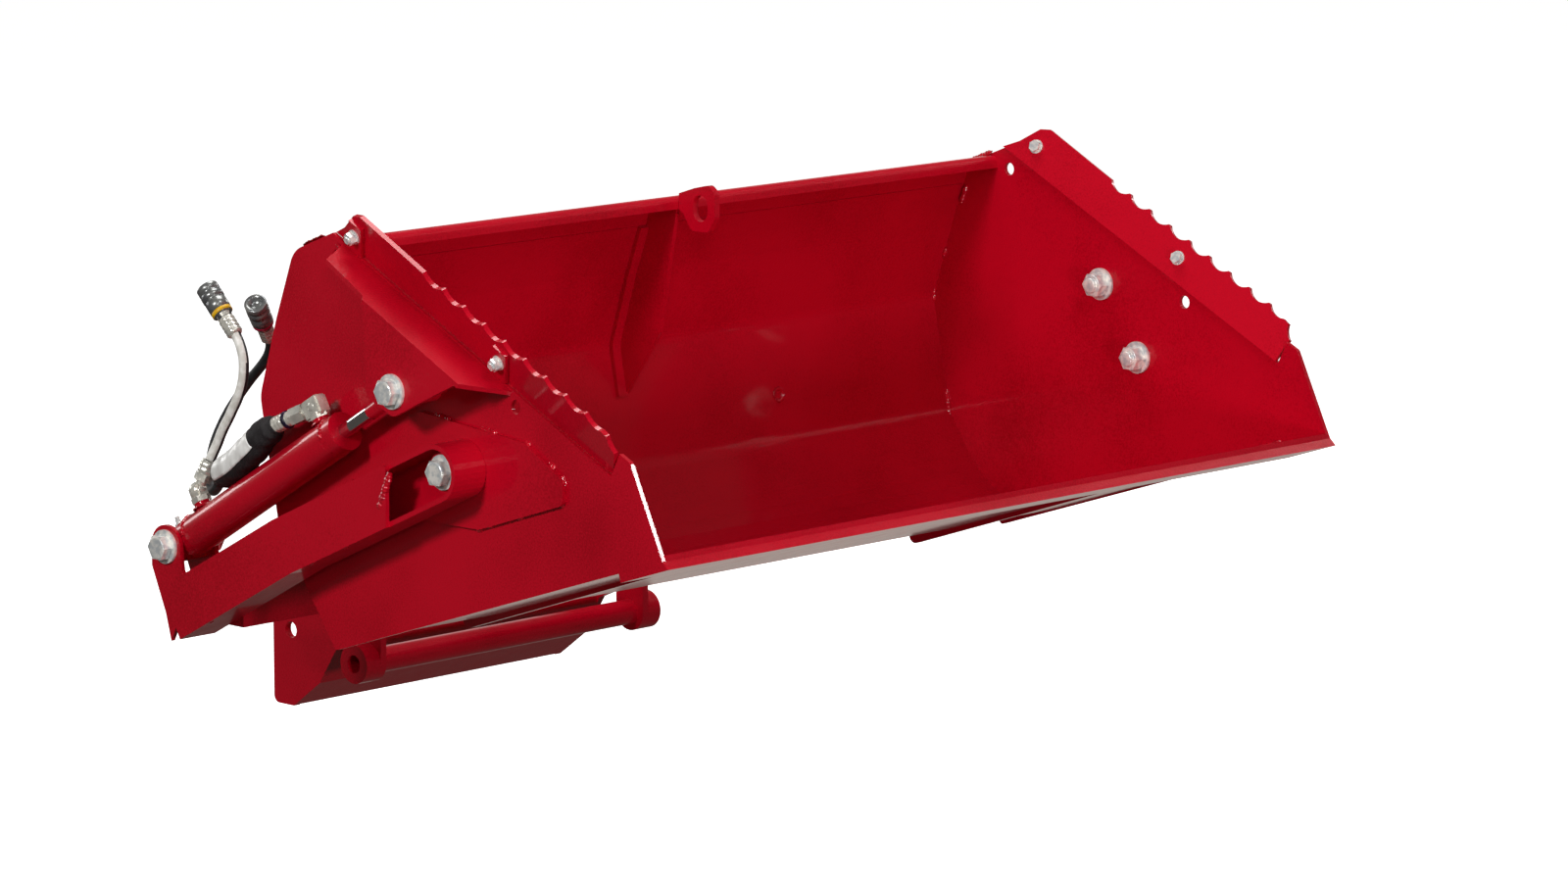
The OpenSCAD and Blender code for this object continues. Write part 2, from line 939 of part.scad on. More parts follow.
module rod_eye_right()
    color(red)
        on_cylinder()
            difference() {
                union() {
                    along(neck_at, eye_at - neck_at - rod_eye_bore / 2, rod_d + neck_d - rod_eye_w, neck_d);
                    translate([eye_at, 0, -rod_eye_w / 2])
                        cylinder(d = rod_eye_d, h = rod_eye_w);
                }
                translate([eye_at, 0, -rod_eye_w])
                    cylinder(d = rod_eye_bore, h = 2 * rod_eye_w);
            }

module rod_eye_left()
    other_side()
        rod_eye_right();

// Fittings

elbow_up = 47;
elbow_d = 15;
// The knee's ball takes in the whole crossing of the stem and the arm
knee_d = 22;
arm_d = 13.5;
port_hex_af = 22;
port_hex_t = 7;
nut_af = 20;
base_turn = [0, 17, 45];
rod_turn = [0, -6, 174];
arm_l = [13, 20];
nut_l = [9, 22];
ferrule_l = [18, 53];
ferrule_d = 19;

module elbow(i, turn) {
    translate([port_at[i], 0, 0])
        rotate([-90, 0, 0]) {
            translate([0, 0, port_top])
                cylinder(d = port_hex_af / cos(30), h = port_hex_t, $fn = 6);
            translate([0, 0, port_top + port_hex_t])
                cylinder(d = elbow_d, h = elbow_up - port_top - port_hex_t);
        }
    translate([port_at[i], elbow_up, 0]) {
        sphere(d = knee_d);
        rotate([0, 0, turn[2]])
            rotate([0, turn[1], 0]) {
                along(0, arm_l[i], arm_d);
                translate([arm_l[i], 0, 0])
                    rotate([0, 90, 0])
                        cylinder(d = nut_af / cos(30), h = nut_l[i], $fn = 6);
            }
    }
}

module crimp(i, turn)
    translate([port_at[i], elbow_up, 0])
        rotate([0, 0, turn[2]])
            rotate([0, turn[1], 0])
                along(arm_l[i] + nut_l[i], ferrule_l[i], ferrule_d);

module base_elbow_right()
    color(zinc)
        on_cylinder()
            elbow(0, base_turn);

module base_elbow_left()
    color(zinc)
        other_side()
            on_cylinder()
                elbow(0, base_turn);

module rod_elbow_right()
    color(zinc)
        on_cylinder()
            elbow(1, rod_turn);

module rod_elbow_left()
    color(zinc)
        other_side()
            on_cylinder()
                elbow(1, rod_turn);

// Routes of the two hoses, from the cylinder's ferrule to the coupler's ferrule
base_route = [
    [-630, -291, 309], [-627, -295, 320], [-625, -300, 331], [-625, -306, 342], [-625, -313, 353], [-625, -321, 364],
    [-625, -329, 376], [-625, -337, 388], [-625, -344, 401], [-625, -349, 415], [-625, -351, 430], [-625, -350, 444],
    [-625, -345, 458], [-625, -337, 470], [-625, -327, 480]
];
rod_route = [
    [-652, -415, 361], [-651, -397, 350], [-649, -377, 337], [-646, -357, 322], [-641, -338, 307], [-634, -319, 292],
    [-625, -301, 279], [-614, -282, 269], [-601, -262, 263], [-587, -241, 262], [-573, -222, 266], [-559, -206, 276],
    [-546, -195, 291], [-535, -190, 309], [-526, -192, 328], [-520, -199, 346], [-516, -210, 363], [-515, -224, 379],
    [-516, -240, 394], [-519, -257, 407], [-524, -274, 419], [-531, -290, 431], [-540, -304, 443], [-550, -314, 454],
    [-560, -320, 465]
];
hose_d = 13;
sleeve_d = 21;
hose_sides = 10;
// Route points that the protective sleeve covers
sleeve_first = 0;
sleeve_last = 5;
coupler_l = 44;
coupler_d = 25;

function middle(a, b) = (a + b) / 2;
function heading(path, i) = unit(path[min(i + 1, len(path) - 1)] - path[max(i - 1, 0)]);

// Rings of a tube round the path, each square to it, with one diameter for each point
function tube_points(path, widths) = [
    for (i = [0:len(path) - 1])
        let(
            t = heading(path, i),
            side = unit(cross(t, [0.6, 0, 0.8])),
            up = cross(side, t)
        )
        for (k = [0:hose_sides - 1])
            path[i] + widths[i] / 2 * (side * cos(360 * k / hose_sides) + up * sin(360 * k / hose_sides))
];

module tube(path, widths) {
    n = hose_sides;
    last = len(path) - 1;
    polyhedron(
        tube_points(path, widths),
        concat(
            [[for (k = [0:n - 1]) k]],
            [for (i = [0:last - 1]) for (k = [0:n - 1])
                for (face = [
                    [i * n + k, (i + 1) * n + k, (i + 1) * n + (k + 1) % n],
                    [i * n + k, (i + 1) * n + (k + 1) % n, i * n + (k + 1) % n]
                ]) face],
            [[for (k = [n - 1:-1:0]) last * n + k]]
        )
    );
}

module base_hose()
    color(black)
        tube(base_route, [for (p = base_route) hose_d]);

module rod_hose()
    color(black)
        tube(rod_route, [for (i = [0:len(rod_route) - 1]) i >= sleeve_first && i <= sleeve_last ? sleeve_d : hose_d]);

module hose_ferrules()
    color(steel) {
        on_cylinder() {
            crimp(0, base_turn);
            crimp(1, rod_turn);
        }
        for (route = [base_route, rod_route])
            at_end(route)
                cylinder(d = ferrule_d, h = ferrule_d + over);
    }

module at_end(route) {
    last = len(route) - 1;
    way = unit(route[last] - route[last - 1]);
    translate(route[last])
        rotate([0, acos(way[2]), atan2(way[1], way[0])])
            children();
}

module hose_couplers()
    color(steel)
        for (route = [base_route, rod_route])
            at_end(route)
                translate([0, 0, ferrule_d + over]) {
                    cylinder(d = nut_af / cos(30), h = coupler_l / 4, $fn = 6);
                    translate([0, 0, coupler_l / 4])
                        cylinder(d = coupler_d, h = coupler_l * 3 / 4);
                }

nipple_d = 8;
nipple_l = 14;

module grease_nipple_right()
    color(steel)
        side_plane(cyl_z)
            translate(base_pin)
                rotate([0, 0, cyl_angle + 85])
                    translate([base_eye_d / 2, 0, 0])
                        rotate([0, 90, 0])
                            cylinder(d = nipple_d, h = nipple_l);

module grease_nipple_left()
    other_side()
        grease_nipple_right();

bucket_shell();
side_plate_right();
side_plate_left();
top_rail();
tie_down_eye();
centre_gusset();
cutting_edge();
wear_runners();
serrated_edge_right();
serrated_edge_left();
edge_bolts();
edge_nuts();
doubler_right();
doubler_left();
cylinder_bracket_right();
cylinder_bracket_left();
rod_pin_spacers();
rod_pin_bolts();
rod_pin_nuts();
arm_right();
arm_left();
arm_cover_right();
arm_cover_left();
ear_plates();
cross_member();
pivot_bosses();
pivot_bolts();
pivot_nuts();
base_pin_bolts();
base_pin_nuts();
hitch_plate_right();
hitch_plate_left();
hitch_face();
hitch_tube();
tube_collars();
barrel_right();
barrel_left();
base_eye_right();
base_eye_left();
gland_right();
gland_left();
piston_right();
piston_left();
rod_right();
rod_left();
rod_eye_right();
rod_eye_left();
base_elbow_right();
base_elbow_left();
rod_elbow_right();
rod_elbow_left();
hose_ferrules();
base_hose();
rod_hose();
hose_couplers();
grease_nipple_right();
grease_nipple_left();
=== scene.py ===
import json
import math

import bmesh
import bpy
from mathutils import Matrix, Vector


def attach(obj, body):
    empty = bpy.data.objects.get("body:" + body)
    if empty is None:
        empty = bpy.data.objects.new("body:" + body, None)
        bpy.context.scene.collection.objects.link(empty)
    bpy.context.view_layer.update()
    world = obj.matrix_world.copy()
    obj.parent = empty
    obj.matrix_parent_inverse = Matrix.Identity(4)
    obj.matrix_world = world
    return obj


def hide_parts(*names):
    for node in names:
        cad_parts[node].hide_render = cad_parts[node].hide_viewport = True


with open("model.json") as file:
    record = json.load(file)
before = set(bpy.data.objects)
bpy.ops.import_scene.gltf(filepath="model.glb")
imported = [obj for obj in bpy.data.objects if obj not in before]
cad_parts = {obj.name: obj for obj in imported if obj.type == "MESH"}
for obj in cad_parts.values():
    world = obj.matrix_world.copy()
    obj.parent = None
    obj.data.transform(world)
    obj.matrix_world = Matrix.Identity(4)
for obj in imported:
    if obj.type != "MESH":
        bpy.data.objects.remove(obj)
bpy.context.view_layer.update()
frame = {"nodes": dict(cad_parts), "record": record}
scene = bpy.context.scene

# Camera
# A long lens from the bucket's front right corner, as the photograph was taken.
EYE = (-5.6722, -6.1690, 1.6178)
EYE_RIGHT = (0.69602, -0.71802, 0.0)
EYE_UP = (0.11801, 0.11440, 0.98640)
EYE_BACK = (-0.70825, -0.68655, 0.16436)
camera = bpy.data.objects.new("camera", bpy.data.cameras.new("camera"))
scene.collection.objects.link(camera)
camera.data.lens = 144.9
camera.data.sensor_width = 36
camera.data.clip_end = 100
turn = Matrix((EYE_RIGHT, EYE_UP, EYE_BACK)).transposed()
camera.matrix_world = Matrix.Translation(EYE) @ turn.to_4x4()
scene.camera = camera


# Helpers
def linear(text):
    parts = [int(text[i:i + 2], 16) / 255 for i in (1, 3, 5)]
    return [c / 12.92 if c <= 0.04045 else ((c + 0.055) / 1.055) ** 2.4 for c in parts] + [1.0]


def add(tree, kind, settings=None, **links):
    # Settings go to inputs by name or number, or else to the node; _0 links to the first input
    node = tree.nodes.new("ShaderNode" + kind)
    for key, value in (settings or {}).items():
        if isinstance(key, int) or key in node.inputs:
            node.inputs[key].default_value = value
        else:
            setattr(node, key, value)
    for key, socket in links.items():
        name = key.replace("_", " ")
        target = node.inputs[name] if name in node.inputs else node.inputs[int(key[1:])]
        tree.links.new(socket, target)
    return node


def noise(tree, place, scale, detail):
    return add(tree, "TexNoise", {"Scale": scale, "Detail": detail}, Vector=place).outputs["Fac"]


def ramp(tree, socket, low, high, at=(0.4, 0.6)):
    node = add(tree, "ValToRGB", Fac=socket)
    for stop, place, shade in zip(node.color_ramp.elements, at, (low, high)):
        stop.position = place
        stop.color = linear(shade)
    return node.outputs["Color"]


def bump(tree, shader, height, strength, distance):
    node = add(tree, "Bump", {"Strength": strength, "Distance": distance}, Height=height)
    tree.links.new(node.outputs["Normal"], shader.inputs["Normal"])


def material(name, base, shades=None, gloss=None, relief=None, **settings):
    # Shades: scale, detail and two colours; gloss: scale, detail and two values of roughness;
    # relief: scale, detail, strength and depth in metres. Each follows a noise of its own.
    made = bpy.data.materials.new(name)
    made.use_nodes = True
    tree = made.node_tree
    shader = tree.nodes["Principled BSDF"]
    shader.inputs["Base Color"].default_value = linear(base)
    for key, value in settings.items():
        value = linear(value) if isinstance(value, str) else value
        shader.inputs[key.replace("_", " ")].default_value = value
    place = add(tree, "TexCoord").outputs["Object"]
    if shades:
        tree.links.new(ramp(tree, noise(tree, place, *shades[:2]), *shades[2:]), shader.inputs["Base Color"])
    if gloss:
        node = add(tree, "MapRange", {"To Min": gloss[2], "To Max": gloss[3]}, Value=noise(tree, place, *gloss[:2]))
        tree.links.new(node.outputs["Result"], shader.inputs["Roughness"])
    if relief:
        bump(tree, shader, noise(tree, place, *relief[:2]), *relief[2:])
    return made, tree, shader, place


# Materials
# Red powder coat: fine orange peel with a red sheen under a thin clear gloss, its colour uneven in broad
# clouds and in fine grain.
paint, tree, shader, place = material(
    "red_powder_coat", "#AE0218", gloss=(38.0, 4.0, 0.28, 0.46), relief=(330.0, 3.0, 0.42, 0.0006),
    Coat_Weight=0.55, Coat_Roughness=0.07, Specular_Tint="#F5203A", Specular_IOR_Level=0.3,
)
GRAIN_SHARE = 0.9
grain = add(tree, "Math", {"operation": "MULTIPLY_ADD", 1: GRAIN_SHARE},
            _0=noise(tree, place, 420.0, 2.0), _2=noise(tree, place, 5.0, 4.0))
shade = ramp(tree, grain.outputs["Value"], "#9A0014", "#BA0620", (0.6, 1.0))
tree.links.new(shade, shader.inputs["Base Color"])

# The same coat over weld beads, thicker and glossier.
weld_paint = material(
    "painted_weld", "#B00419", shades=(60.0, 3.0, "#A00015", "#BE0820"), relief=(420.0, 3.0, 0.5, 0.0009),
    Roughness=0.16, Coat_Weight=1.0, Coat_Roughness=0.05, Specular_Tint="#FF8A98",
)[0]

# Bright zinc plating on bolts, nuts and washers, clouded blue and straw.
zinc = material(
    "zinc_plated_steel", "#E2E4E4", shades=(140.0, 4.0, "#C9CED0", "#F8F5EE"), gloss=(90.0, 4.0, 0.14, 0.3),
    relief=(400.0, 2.0, 0.2, 0.0003), Metallic=0.4,
)[0]

# Trivalent plating on the hydraulic fittings, greyer and more matte, and darker on the quick couplers.
fitting = material(
    "plated_fitting_steel", "#D0CFC6", shades=(45.0, 4.0, "#C6C5BC", "#ECE9DD"), gloss=(90.0, 4.0, 0.18, 0.34),
    relief=(500.0, 2.0, 0.07, 0.0002), Metallic=0.5,
)[0]
coupler_steel = material(
    "dark_plated_coupler", "#7E8080", shades=(60.0, 4.0, "#6C6E70", "#8F908D"), gloss=(90.0, 4.0, 0.2, 0.36),
    relief=(500.0, 2.0, 0.07, 0.0002), Metallic=0.6,
)[0]

# Hard chrome of the piston rods, with fine lines round the rod.
chrome = material(
    "hard_chrome", "#D9DCDE", gloss=(220.0, 2.0, 0.05, 0.16), relief=(1400.0, 2.0, 0.05, 0.0002), Metallic=1.0,
)[0]

# Synthetic rubber hose cover with the faint weave of its curing wrap, and the white layline printed along it,
# left without its lettering.
rubber = material(
    "hose_rubber", "#17181A", shades=(60.0, 3.0, "#111214", "#212327"), relief=(1300.0, 2.0, 0.35, 0.0004),
    Roughness=0.5,
)[0]
layline = material(
    "white_layline", "#E4E2DC", shades=(90.0, 3.0, "#D6D3CB", "#EFEDE8"), relief=(1300.0, 2.0, 0.25, 0.0003),
    Roughness=0.42,
)[0]

# Woven nylon of the protective sleeve.
nylon, tree, shader, place = material("sleeve_nylon", "#120C0E", Roughness=0.7)
weave = add(tree, "TexWave", {"Scale": 420.0, "Distortion": 1.2, "bands_direction": "DIAGONAL"}, Vector=place)
tree.links.new(ramp(tree, weave.outputs["Fac"], "#090607", "#1B1316"), shader.inputs["Base Color"])
bump(tree, shader, weave.outputs["Fac"], 0.5, 0.0005)

# Vinyl of the bare label.
vinyl = material(
    "white_vinyl", "#E6E5E2", shades=(45.0, 3.0, "#DDDCD8", "#F0EFEC"), relief=(260.0, 3.0, 0.15, 0.0006),
    Roughness=0.35, Coat_Weight=0.2,
)[0]

# Coloured plastic bands that tell the two couplers apart.
bands = {}
for name, shade, deep in (("yellow_band", "#E8B50E", "#D39E08"), ("crimson_band", "#B3123F", "#940B31")):
    bands[name] = material(
        name, shade, shades=(120.0, 3.0, deep, shade), relief=(800.0, 3.0, 0.15, 0.0003), Roughness=0.4,
    )[0]

# Dark sealing ring behind the rod hose's nut.
seal = material(
    "seal_ring", "#191430", shades=(150.0, 3.0, "#120E24", "#241C40"), relief=(900.0, 3.0, 0.2, 0.0003),
    Roughness=0.35,
)[0]


# Shapes
def piece(name, mesh_data, mats, body):
    made = bpy.data.objects.new(name, mesh_data)
    scene.collection.objects.link(made)
    for mat in mats:
        mesh_data.materials.append(mat)
    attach(made, body)
    return made


def filled(name, points, faces, kinds=None):
    data = bpy.data.meshes.new(name)
    data.from_pydata([tuple(p) for p in points], [], faces)
    for i, poly in enumerate(data.polygons):
        poly.use_smooth = True
        poly.material_index = kinds[i] if kinds else 0
    data.validate()
    return data


def skin(rings, sides):
    # Faces from ring to ring, then the two ends
    faces = []
    for i in range(rings - 1):
        for k in range(sides):
            a, b = i * sides + k, i * sides + (k + 1) % sides
            faces.append((a, b, b + sides, a + sides))
    last = (rings - 1) * sides
    return faces + [tuple(range(sides - 1, -1, -1)), tuple(range(last, last + sides))]


def smoothed(points, steps):
    # A curve through every point, with the given number of steps from point to point
    points = [Vector(p) for p in points]
    padded = [2 * points[0] - points[1]] + points + [2 * points[-1] - points[-2]]
    line = []
    for i in range(1, len(padded) - 2):
        a, b, c, d = padded[i - 1:i + 3]
        for k in range(steps):
            t = k / steps
            line.append(0.5 * (2 * b + (c - a) * t + (2 * a - 5 * b + 4 * c - d) * t * t
                               + (3 * b - a - 3 * c + d) * t ** 3))
    return line + [points[-1]]


def frames(line):
    # Directions along the line with a side vector carried smoothly from ring to ring
    last = len(line) - 1
    ways = [(line[min(i + 1, last)] - line[max(i - 1, 0)]).normalized() for i in range(len(line))]
    side = ways[0].orthogonal().normalized()
    out = []
    for way in ways:
        side = (side - way * side.dot(way)).normalized()
        out.append((way, side, way.cross(side)))
    return out


def tube(name, line, radius, sides, kind=None):
    # The radius comes from the share of the length and the direction, the kind of face from the direction
    points = []
    for i, (way, side, up) in enumerate(frames(line)):
        for k in range(sides):
            angle = math.tau * k / sides
            ray = side * math.cos(angle) + up * math.sin(angle)
            points.append(line[i] + ray * radius(i / (len(line) - 1), ray))
    faces = skin(len(line), sides)
    kinds = None
    if kind:
        kinds = [kind(((points[f[0]] + points[f[1]]) / 2 - line[f[0] // sides]).normalized()) for f in faces[:-2]]
        kinds += [0, 0]
    return filled(name, points, faces, kinds)


def lathe(name, profile, at, way, sides=40, wobble=None):
    # Profile: pairs of distance along the axis and radius, in millimetres
    way = Vector(way).normalized()
    side = way.orthogonal().normalized()
    up = way.cross(side)
    points = []
    for along, radius in profile:
        for k in range(sides):
            angle = math.tau * k / sides
            r = radius + (wobble(along, angle) if wobble else 0)
            ray = side * math.cos(angle) + up * math.sin(angle)
            points.append(Vector(at) + (way * along + ray * r) / 1000)
    return filled(name, points, skin(len(profile), sides))


def length_of(route):
    return sum((Vector(b) - Vector(a)).length for a, b in zip(route, route[1:]))


def way_out(route):
    # Direction in which the hose leaves the last point of its route
    return (Vector(route[-1]) - Vector(route[-2])).normalized()


HOSE_R = 0.0065
HOSE_SIDES = 24
HOSE_STEPS = 4


# Base hose
# Leaves the base elbow and curves up and back to its coupler, with a white layline.
base_route = [
    (-0.630, -0.291, 0.309), (-0.627, -0.295, 0.320), (-0.625, -0.300, 0.331), (-0.625, -0.306, 0.342),
    (-0.625, -0.313, 0.353), (-0.625, -0.321, 0.364), (-0.625, -0.329, 0.376), (-0.625, -0.337, 0.388),
    (-0.625, -0.344, 0.401), (-0.625, -0.349, 0.415), (-0.625, -0.351, 0.430), (-0.625, -0.350, 0.444),
    (-0.625, -0.345, 0.458), (-0.625, -0.337, 0.470), (-0.625, -0.327, 0.480),
]
LAYLINE_WAY = Vector((-0.86, -0.24, 0.16)).normalized()
LAYLINE_COSINE = 0.45
base_hose = piece(
    "base_hose_cover",
    tube("base_hose_cover", smoothed(base_route, HOSE_STEPS), lambda t, ray: HOSE_R, HOSE_SIDES,
         lambda ray: 1 if ray.dot(LAYLINE_WAY) > LAYLINE_COSINE else 0),
    (rubber, layline), "barrel_right",
)
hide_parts("base_hose")

# Rod hose
# Runs back under its sleeve beside the barrel, turns up behind it and ends in the second coupler.
rod_route = [
    (-0.652, -0.415, 0.361), (-0.651, -0.397, 0.350), (-0.649, -0.377, 0.337), (-0.646, -0.357, 0.322),
    (-0.641, -0.338, 0.307), (-0.634, -0.319, 0.292), (-0.625, -0.301, 0.279), (-0.614, -0.282, 0.269),
    (-0.601, -0.262, 0.263), (-0.587, -0.241, 0.262), (-0.573, -0.222, 0.266), (-0.559, -0.206, 0.276),
    (-0.546, -0.195, 0.291), (-0.535, -0.190, 0.309), (-0.526, -0.192, 0.328), (-0.520, -0.199, 0.346),
    (-0.516, -0.210, 0.363), (-0.515, -0.224, 0.379), (-0.516, -0.240, 0.394), (-0.519, -0.257, 0.407),
    (-0.524, -0.274, 0.419), (-0.531, -0.290, 0.431), (-0.540, -0.304, 0.443), (-0.550, -0.314, 0.454),
    (-0.560, -0.320, 0.465),
]
rod_hose = piece(
    "rod_hose_cover",
    tube("rod_hose_cover", smoothed(rod_route, HOSE_STEPS), lambda t, ray: HOSE_R, HOSE_SIDES),
    (rubber,), "barrel_right",
)
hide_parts("rod_hose")


# Hose sleeve
# A slack woven sleeve, gathered at both ends, with a bare label on its upper side.
def sleeve_radius(t, ray):
    crease = 0.0005 * math.sin(41 * t + 5 * ray.x) + 0.0004 * math.sin(97 * t + 9 * ray.z)
    gathered = 0.0045 * math.exp(-(t / 0.09) ** 2) + 0.003 * math.exp(-((t - 1.0) / 0.05) ** 2)
    return 0.0165 + 0.003 * min(1, 2.2 * t) + crease - gathered


# Starts on the hose's fitting, then each point stands off the hose as the slack sleeve does
sleeve_line = [(-0.6489, -0.4384, 0.3718), (-0.6498, -0.4295, 0.3663)]
for (x, y, z), off in zip(rod_route, (-0.004, -0.009, -0.010, -0.009, -0.004, 0.003)):
    sleeve_line.append((x, y + 0.506 * off, z + 0.862 * off))
sleeve_line = smoothed(sleeve_line, 8)
sleeve = piece(
    "hose_sleeve", tube("hose_sleeve", sleeve_line, sleeve_radius, 36),
    (nylon,), "barrel_right",
)

LABEL_SHARES = (0.36, 0.93)
LABEL_WAY = Vector((-0.58, 0.33, 0.74))
LABEL_HALF_TURN = 1.35
LABEL_ACROSS = 17
LABEL_GAP = 0.0005


def label_mesh():
    last = len(sleeve_line) - 1
    start, stop = (int(last * share) for share in LABEL_SHARES)
    points, faces = [], []
    ways = frames(sleeve_line)
    for i in range(start, stop + 1):
        way = ways[i][0]
        outward = (LABEL_WAY - way * way.dot(LABEL_WAY)).normalized()
        other = way.cross(outward)
        for k in range(LABEL_ACROSS):
            angle = LABEL_HALF_TURN * (2 * k / (LABEL_ACROSS - 1) - 1)
            ray = outward * math.cos(angle) + other * math.sin(angle)
            points.append(sleeve_line[i] + ray * (sleeve_radius(i / last, ray) + LABEL_GAP))
    for i in range(stop - start):
        for k in range(LABEL_ACROSS - 1):
            a = i * LABEL_ACROSS + k
            faces.append((a, a + 1, a + 1 + LABEL_ACROSS, a + LABEL_ACROSS))
    return filled("sleeve_label", points, faces)


label = piece("sleeve_label", label_mesh(), (vinyl,), "barrel_right")
thick = label.modifiers.new("thickness", "SOLIDIFY")
thick.thickness = 0.0004
thick.offset = 1

# Couplers
# Quick couplers with a locking sleeve, grooves and a coloured band.
COUPLER_GAP = 0.012
COUPLER_PROFILE = [
    (0, 6), (0, 9.6), (6, 9.6), (6.6, 12.4), (12.8, 12.6), (13.4, 14), (27, 14), (27.8, 12.6), (30, 12.6),
    (30.6, 14.4), (38, 14.4), (38.6, 13.2), (41, 13.2), (41.6, 14.2), (49, 14.2), (50, 13.2), (50, 8.5),
    (44, 8.2), (44, 0.5),
]
BAND_PROFILE = [(7.0, 11.8), (7.4, 13.6), (12.0, 13.6), (12.4, 11.8)]


def collar(along, angle):
    # The collar at the hose's end swells at three corners
    return 1.4 * (abs(math.cos(1.5 * angle)) ** 6 - 0.6) if 0 < along < 6.2 else 0


def coupler(name, route, band_name):
    way = way_out(route)
    at = Vector(route[-1]) + way * COUPLER_GAP
    made = piece(name, lathe(name, COUPLER_PROFILE, at, way, 60, collar), (coupler_steel,),
                 "barrel_right")
    ring = piece(name + "_band", lathe(name + "_band", BAND_PROFILE, at, way), (bands[band_name],),
                 "barrel_right")
    return [made, ring]


base_parts = coupler("base_coupler", base_route, "yellow_band")
rod_parts = coupler("rod_coupler", rod_route, "crimson_band")
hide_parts("hose_couplers")

# Places on the bucket and the cylinders
# Given as forward and up from the bucket's pivot and out from the side plate's inner face, in millimetres.
INNER_FACE, PIVOT_Y, PIVOT_Z = 603.5, -740, 350
ROD_PIN, BASE_PIN = (-66, 92), (-486, -149)
CYLINDER_OUT = 38
RIGHT, LEFT = -1, 1
names = {RIGHT: "right", LEFT: "left"}
cylinder_way = Vector((0, -0.862402, 0.506224))
cylinder_up = Vector((0, 0.506224, 0.862402))


def at_side(f, u, z, side=RIGHT):
    return Vector((side * (INNER_FACE + z), PIVOT_Y - f, PIVOT_Z + u)) / 1000


def across(points, x):
    # Places in one plane, at x in metres
    return [Vector((x, PIVOT_Y - f, PIVOT_Z + u)) / 1000 for f, u in points]


def on_cylinder(along, up, out, side):
    offset = cylinder_way * along + cylinder_up * up + Vector((side, 0, 0)) * out
    return at_side(*BASE_PIN, CYLINDER_OUT, side) + offset / 1000


def ring_of(centre, way, radius, count=28):
    # A closed ring of points, with its radius in millimetres
    way = Vector(way).normalized()
    side = way.orthogonal().normalized()
    other = way.cross(side)
    angles = [math.tau * i / count for i in range(count + 1)]
    return [centre + (side * math.cos(a) + other * math.sin(a)) * radius / 1000 for a in angles]


# Heads and nuts
# The round chamfer on each hexagon, and the threads past each nut.
HEX_AF = 28.5
THREAD_R = 9.5
HEAD_FACE, PIVOT_FACE, NUT_FACE = 85, 64, -19.5


def crown(name, centre, way, body, thread=0):
    # The chamfer closed by a shallow dish, or by the end of a thread of the given radius
    r = HEX_AF / 2
    profile = [(-0.6, r - 0.2), (0.0, r - 0.2), (0.5, r - 0.7), (0.9, r - 1.9), (0.9, r - 4), (0.6, 2)]
    if thread:
        profile = profile[:4] + [(0.2, thread + 0.4)]
        for k in range(3):
            profile += [(0.8 + 1.4 * k, thread), (1.5 + 1.4 * k, thread + 0.45)]
        profile += [(5.0, thread), (5.6, thread - 1.2), (5.6, 1)]
    piece(name, lathe(name, profile, centre, way, 36), (zinc,), body)


for side in (RIGHT, LEFT):
    outward = Vector((side, 0, 0))
    tag = names[side]
    crown("rod_pin_head_" + tag, at_side(*ROD_PIN, HEAD_FACE, side), outward, "bucket")
    crown("rod_pin_thread_" + tag, at_side(*ROD_PIN, NUT_FACE, side), -outward, "bucket", THREAD_R)
    crown("pivot_head_" + tag, at_side(0, 0, PIVOT_FACE, side), outward, "arm_frame")
    crown("pivot_thread_" + tag, at_side(0, 0, NUT_FACE, side), -outward, "arm_frame", THREAD_R)
    crown("base_pin_head_" + tag, at_side(*BASE_PIN, HEAD_FACE, side), outward, "arm_frame")


# Hose ends
# Crimped bands on the ferrules, a sealing ring behind the nut and forged knees.
def turned(side, sideways, upward):
    # A direction from the cylinder's own, turned by two angles in degrees
    b, c = math.radians(sideways), math.radians(upward)
    return (cylinder_way * (math.cos(b) * math.cos(c)) + cylinder_up * (math.cos(b) * math.sin(c))
            + Vector((side, 0, 0)) * -math.sin(b)).normalized()


def flats(along, angle):
    # The crimping dies leave eight flats
    return 0.22 * math.cos(8 * angle)


def crimps(name, start, way, length, count):
    edge, low, high = 1.5, 9.55, 10.3
    pitch = (length - 2 * edge) / count
    profile = [(0, 8)]
    for k in range(count):
        at = edge + (length - 2 * edge) * k / count
        profile += [(at, low), (at + pitch * 0.2, high), (at + pitch * 0.75, high), (at + pitch * 0.95, low)]
    profile += [(length, 8)]
    piece(name, lathe(name, profile, start, way, 64, flats), (fitting,), "barrel_right")


# Distances in metres: from each knee to its crimps and its seal, and back over the hose from its end
ROD_CRIMP_AT, BASE_CRIMP_AT, ROD_SEAL_AT = 0.055, 0.022, 0.049
CRIMP_OVER_HOSE = 0.014
SEAL_PROFILE = [(0, 8), (0, 10.9), (1, 11.4), (4.2, 11.4), (5, 10.9), (5, 8)]
rod_way, base_way = turned(RIGHT, -6, 174), turned(RIGHT, 17, 45)
rod_knee, base_knee = on_cylinder(316, 47, 0, RIGHT), on_cylinder(58, 47, 0, RIGHT)
crimps("rod_crimp", rod_knee + rod_way * ROD_CRIMP_AT, rod_way, 20, 3)
crimps("base_crimp", base_knee + base_way * BASE_CRIMP_AT, base_way, 17, 2)
for name, route in (("base", base_route), ("rod", rod_route)):
    way = way_out(route)
    crimps(name + "_coupler_crimp", Vector(route[-1]) - way * CRIMP_OVER_HOSE, way, 27, 4)
piece("rod_seal_ring", lathe("rod_seal_ring", SEAL_PROFILE, rod_knee + rod_way * ROD_SEAL_AT, rod_way), (seal,),
      "barrel_right")

KNEE_CHAMFER = 0.0022


